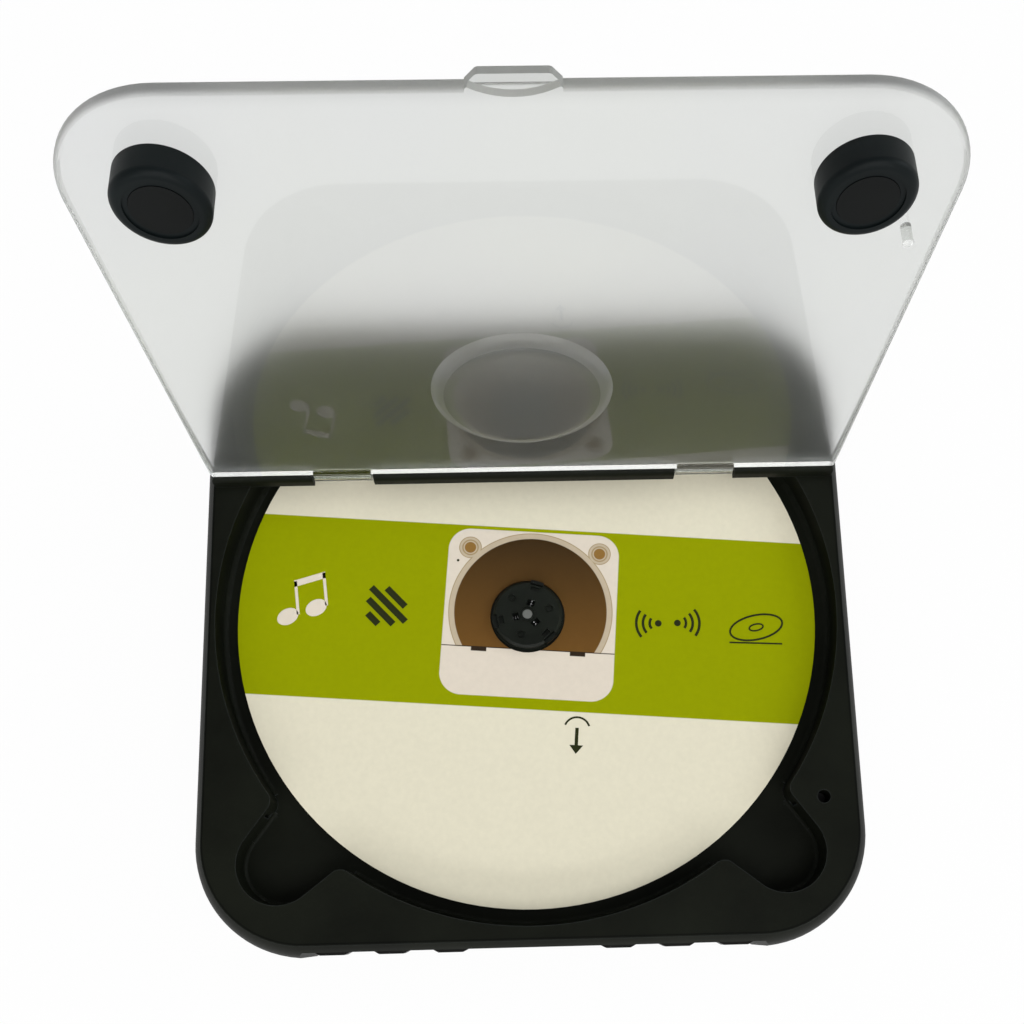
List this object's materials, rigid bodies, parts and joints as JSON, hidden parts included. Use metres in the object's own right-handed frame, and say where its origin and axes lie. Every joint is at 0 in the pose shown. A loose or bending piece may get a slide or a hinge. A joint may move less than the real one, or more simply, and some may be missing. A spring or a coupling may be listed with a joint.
{
  "type": "wall mounted disc player",
  "caption": "Square wall disc player with rounded corners, open clear hinged lid, round disc well with a transport card on the hub, front keys and keyhole back.",
  "frame": {"origin": "on the turntable's axis, in the plane the back pads rest on", "axes": "+X to the right, +Y from the keys towards the hinge and front panel, +Z away from the wall, out of the disc well"},
  "size_m": [0.1343, 0.1351, 0.122],
  "materials": {
    "case_black": "fine textured black",
    "cover_black": "fine textured black",
    "foot_rubber": "soft black",
    "screw_steel": "zinc plated",
    "clear_lid": "clear with a frosted outer face",
    "pin_steel": "polished",
    "cup_black": "satin black",
    "magnet_grey": "dark nickel",
    "catch_steel": "plain",
    "key_black": "fine textured black",
    "switch_black": "moulded",
    "plunger_black": "moulded",
    "switch_metal": "tinned",
    "board_green": "solder resist",
    "chip_black": "moulded",
    "cell_grey": "foil wrap",
    "speaker_black": "moulded",
    "chassis_grey": "filled plastic",
    "motor_steel": "plated can",
    "turntable_black": "moulded",
    "jaw_black": "smooth",
    "spring_steel": "bright",
    "pickup_grey": "moulded",
    "lens_clear": "coated",
    "gear_white": "natural",
    "pinion_brass": "plain",
    "card_paper": "printed card"
  },
  "bodies": {
    "case": {"main_case": "case_black", "rear_cover": "cover_black", "rear_pads": "foot_rubber", "rear_screws": "screw_steel", "front_panel": "case_black", "panel_screws": "screw_steel", "hinge_pins": "pin_steel", "catch_plates": "catch_steel", "key_switches": "switch_black", "lid_switch": "switch_black", "slide_switch": "switch_metal", "main_board": "board_green", "board_chips": "chip_black", "board_screws": "screw_steel", "charge_socket": "switch_metal", "phone_socket": "switch_black", "battery": "cell_grey", "speaker_left": "speaker_black", "speaker_right": "speaker_black", "drive_chassis": "chassis_grey", "grommets": "foot_rubber", "chassis_screws": "screw_steel", "spindle_motor": "motor_steel", "guide_rod_left": "pin_steel", "guide_rod_right": "pin_steel", "sled_motor": "motor_steel"},
    "lid": {"lid": "clear_lid", "magnet_cup_left": "cup_black", "magnet_cup_right": "cup_black", "lid_magnets": "magnet_grey"},
    "key_one": {"key_one": "key_black"},
    "key_two": {"key_two": "key_black"},
    "key_three": {"key_three": "key_black"},
    "key_four": {"key_four": "key_black"},
    "key_five": {"key_five": "key_black"},
    "key_six": {"key_six": "key_black"},
    "lid_plunger": {"lid_plunger": "plunger_black"},
    "power_slider": {"power_slider": "key_black"},
    "turntable": {"turntable": "turntable_black", "spindle_shaft": "pin_steel", "jaw_springs": "spring_steel"},
    "hub_jaw_a": {"hub_jaw_a": "jaw_black"},
    "hub_jaw_b": {"hub_jaw_b": "jaw_black"},
    "hub_jaw_c": {"hub_jaw_c": "jaw_black"},
    "pickup": {"pickup_body": "pickup_grey"},
    "lens": {"pickup_lens": "lens_clear"},
    "motor_pinion": {"motor_pinion": "pinion_brass"},
    "sled_gear": {"sled_gear": "gear_white"},
    "card": {"transport_card": "card_paper"}
  },
  "joints": [
    {"name": "lid_close", "type": "hinge", "parent": "case", "child": "lid", "pos_m": [0, 0.0293, 0.0277], "axis": [1, 0, 0], "range_deg": [0, 97.9]},
    {"name": "key_one_press", "type": "slide", "parent": "case", "child": "key_one", "axis": [0, 1, 0], "range_m": [0, 0.0005], "stiffness_N_per_m": 500},
    {"name": "key_two_press", "type": "slide", "parent": "case", "child": "key_two", "axis": [0, 1, 0], "range_m": [0, 0.0005], "stiffness_N_per_m": 500},
    {"name": "key_three_press", "type": "slide", "parent": "case", "child": "key_three", "axis": [0, 1, 0], "range_m": [0, 0.0005], "stiffness_N_per_m": 500},
    {"name": "key_four_press", "type": "slide", "parent": "case", "child": "key_four", "axis": [0, 1, 0], "range_m": [0, 0.0005], "stiffness_N_per_m": 500},
    {"name": "key_five_press", "type": "slide", "parent": "case", "child": "key_five", "axis": [0, 1, 0], "range_m": [0, 0.0005], "stiffness_N_per_m": 500},
    {"name": "key_six_press", "type": "slide", "parent": "case", "child": "key_six", "axis": [0, 1, 0], "range_m": [0, 0.0005], "stiffness_N_per_m": 500},
    {"name": "lid_plunger_press", "type": "slide", "parent": "case", "child": "lid_plunger", "axis": [0, 0, -1], "range_m": [0, 0.001], "stiffness_N_per_m": 150},
    {"name": "power_slide", "type": "slide", "parent": "case", "child": "power_slider", "axis": [0, 1, 0], "range_m": [0, 0.004]},
    {"name": "turntable_spin", "type": "hinge", "parent": "case", "child": "turntable", "pos_m": [0, 0, 0.0202], "axis": [0, 0, 1], "continuous": true},
    {"name": "hub_jaw_a_press", "type": "slide", "parent": "turntable", "child": "hub_jaw_a", "axis": [-0.309, -0.9511, 0], "range_m": [0, 0.0003], "stiffness_N_per_m": 300},
    {"name": "hub_jaw_b_press", "type": "slide", "parent": "turntable", "child": "hub_jaw_b", "axis": [0.9781, 0.2079, 0], "range_m": [0, 0.0003], "stiffness_N_per_m": 300},
    {"name": "hub_jaw_c_press", "type": "slide", "parent": "turntable", "child": "hub_jaw_c", "axis": [-0.6691, 0.7431, 0], "range_m": [0, 0.0003], "stiffness_N_per_m": 300},
    {"name": "pickup_slide", "type": "slide", "parent": "case", "child": "pickup", "axis": [0, 1, 0], "range_m": [0, 0.031]},
    {"name": "lens_focus", "type": "slide", "parent": "pickup", "child": "lens", "axis": [0, 0, 1], "range_m": [-0.0004, 0.0004], "stiffness_N_per_m": 80},
    {"name": "sled_gear_spin", "type": "hinge", "parent": "case", "child": "sled_gear", "pos_m": [0.0346, 0.024, 0.01], "axis": [0, 0, 1], "range_deg": [-500, 0]},
    {"name": "motor_pinion_spin", "type": "hinge", "parent": "case", "child": "motor_pinion", "pos_m": [0.04256, 0.01605, 0.01], "axis": [0, 0, 1], "range_deg": [0, 2000]},
    {"name": "card_lift", "type": "slide", "parent": "case", "child": "card", "axis": [0, 0, 1], "range_m": [0, 0.0035]}
  ],
  "couplings": [
    {"joint": "sled_gear_spin", "follows": "pickup_slide", "rad_per_m": -277.78},
    {"joint": "motor_pinion_spin", "follows": "pickup_slide", "rad_per_m": 1111.1}
  ]
}
